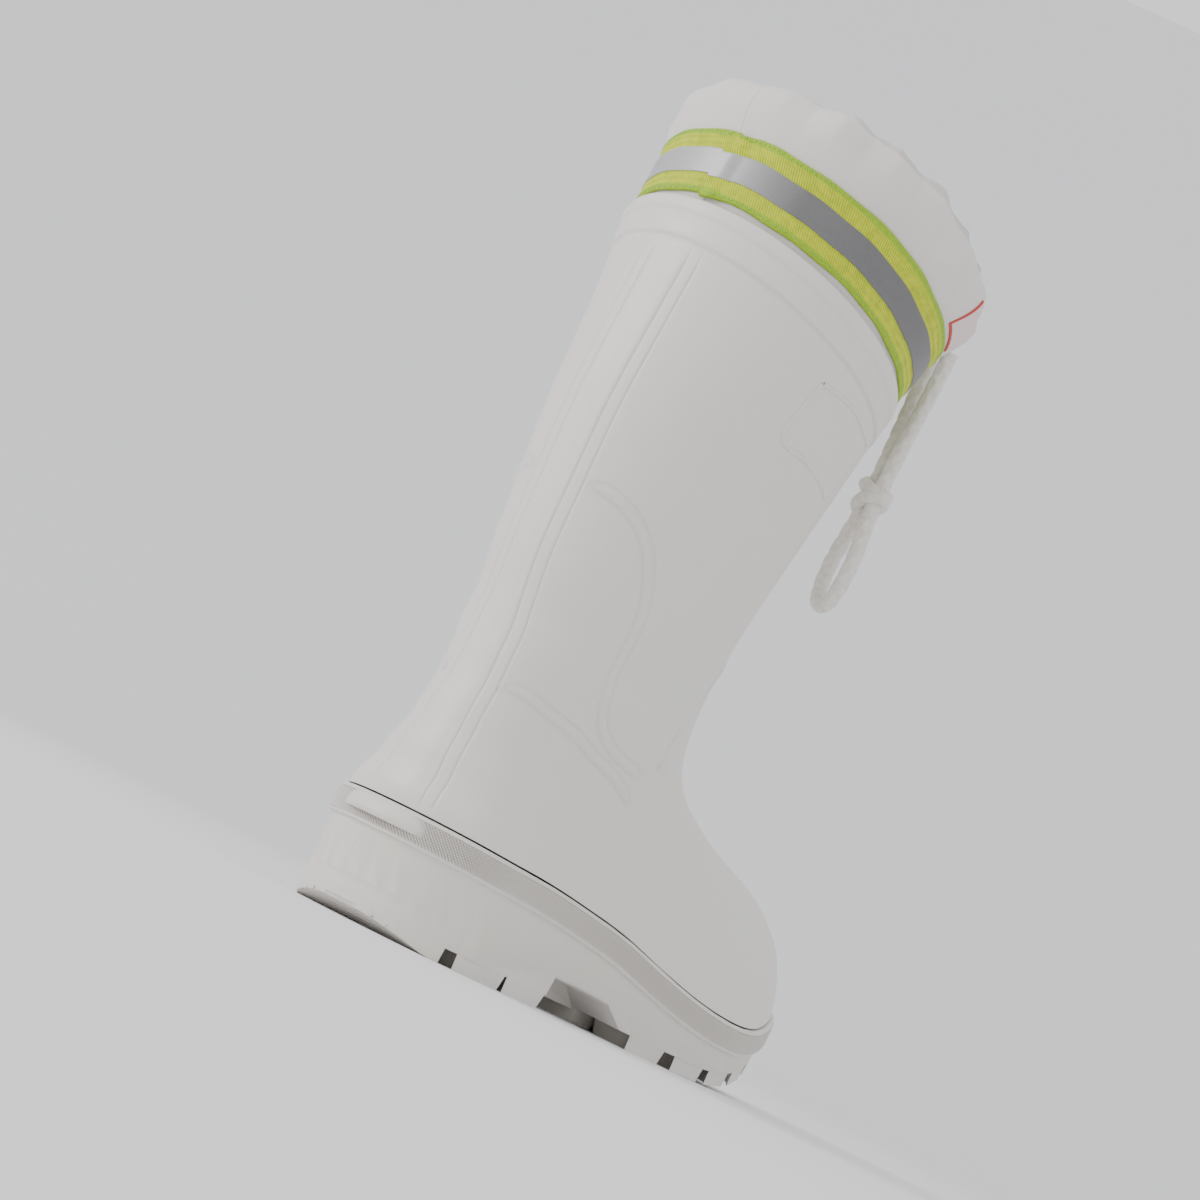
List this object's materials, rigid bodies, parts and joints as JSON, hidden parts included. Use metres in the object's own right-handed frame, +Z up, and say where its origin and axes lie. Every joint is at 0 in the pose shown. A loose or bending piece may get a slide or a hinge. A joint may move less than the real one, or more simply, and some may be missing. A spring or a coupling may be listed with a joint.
{
  "type": "work boot",
  "caption": "Short white moulded rubber work boot, right foot, with a deep cleated outsole, a gathered cloth cuff, a yellow-green hi-vis tape and a hanging drawcord.",
  "frame": {"origin": "middle of the boot's bounding box, without the drawcord, on the floor under the tread", "axes": "+X from heel to toe, +Y to the inner side of the foot, +Z up the shaft"},
  "size_m": [0.2914, 0.1228, 0.3214],
  "materials": {
    "sole_rubber": "satin",
    "upper_rubber": "satin",
    "insole_foam": "matte",
    "cuff_cloth": "matte",
    "hi_vis_webbing": "matte",
    "reflective_film": "satin",
    "label_cloth": "matte",
    "cord_cotton": "matte"
  },
  "bodies": {
    "root": {"outsole": "sole_rubber", "upper": "upper_rubber", "insole": "insole_foam", "cuff": "cuff_cloth", "hi_vis_tape": "hi_vis_webbing", "reflective_stripe": "reflective_film", "label": "label_cloth", "drawcord": "cord_cotton"}
  },
  "joints": []
}
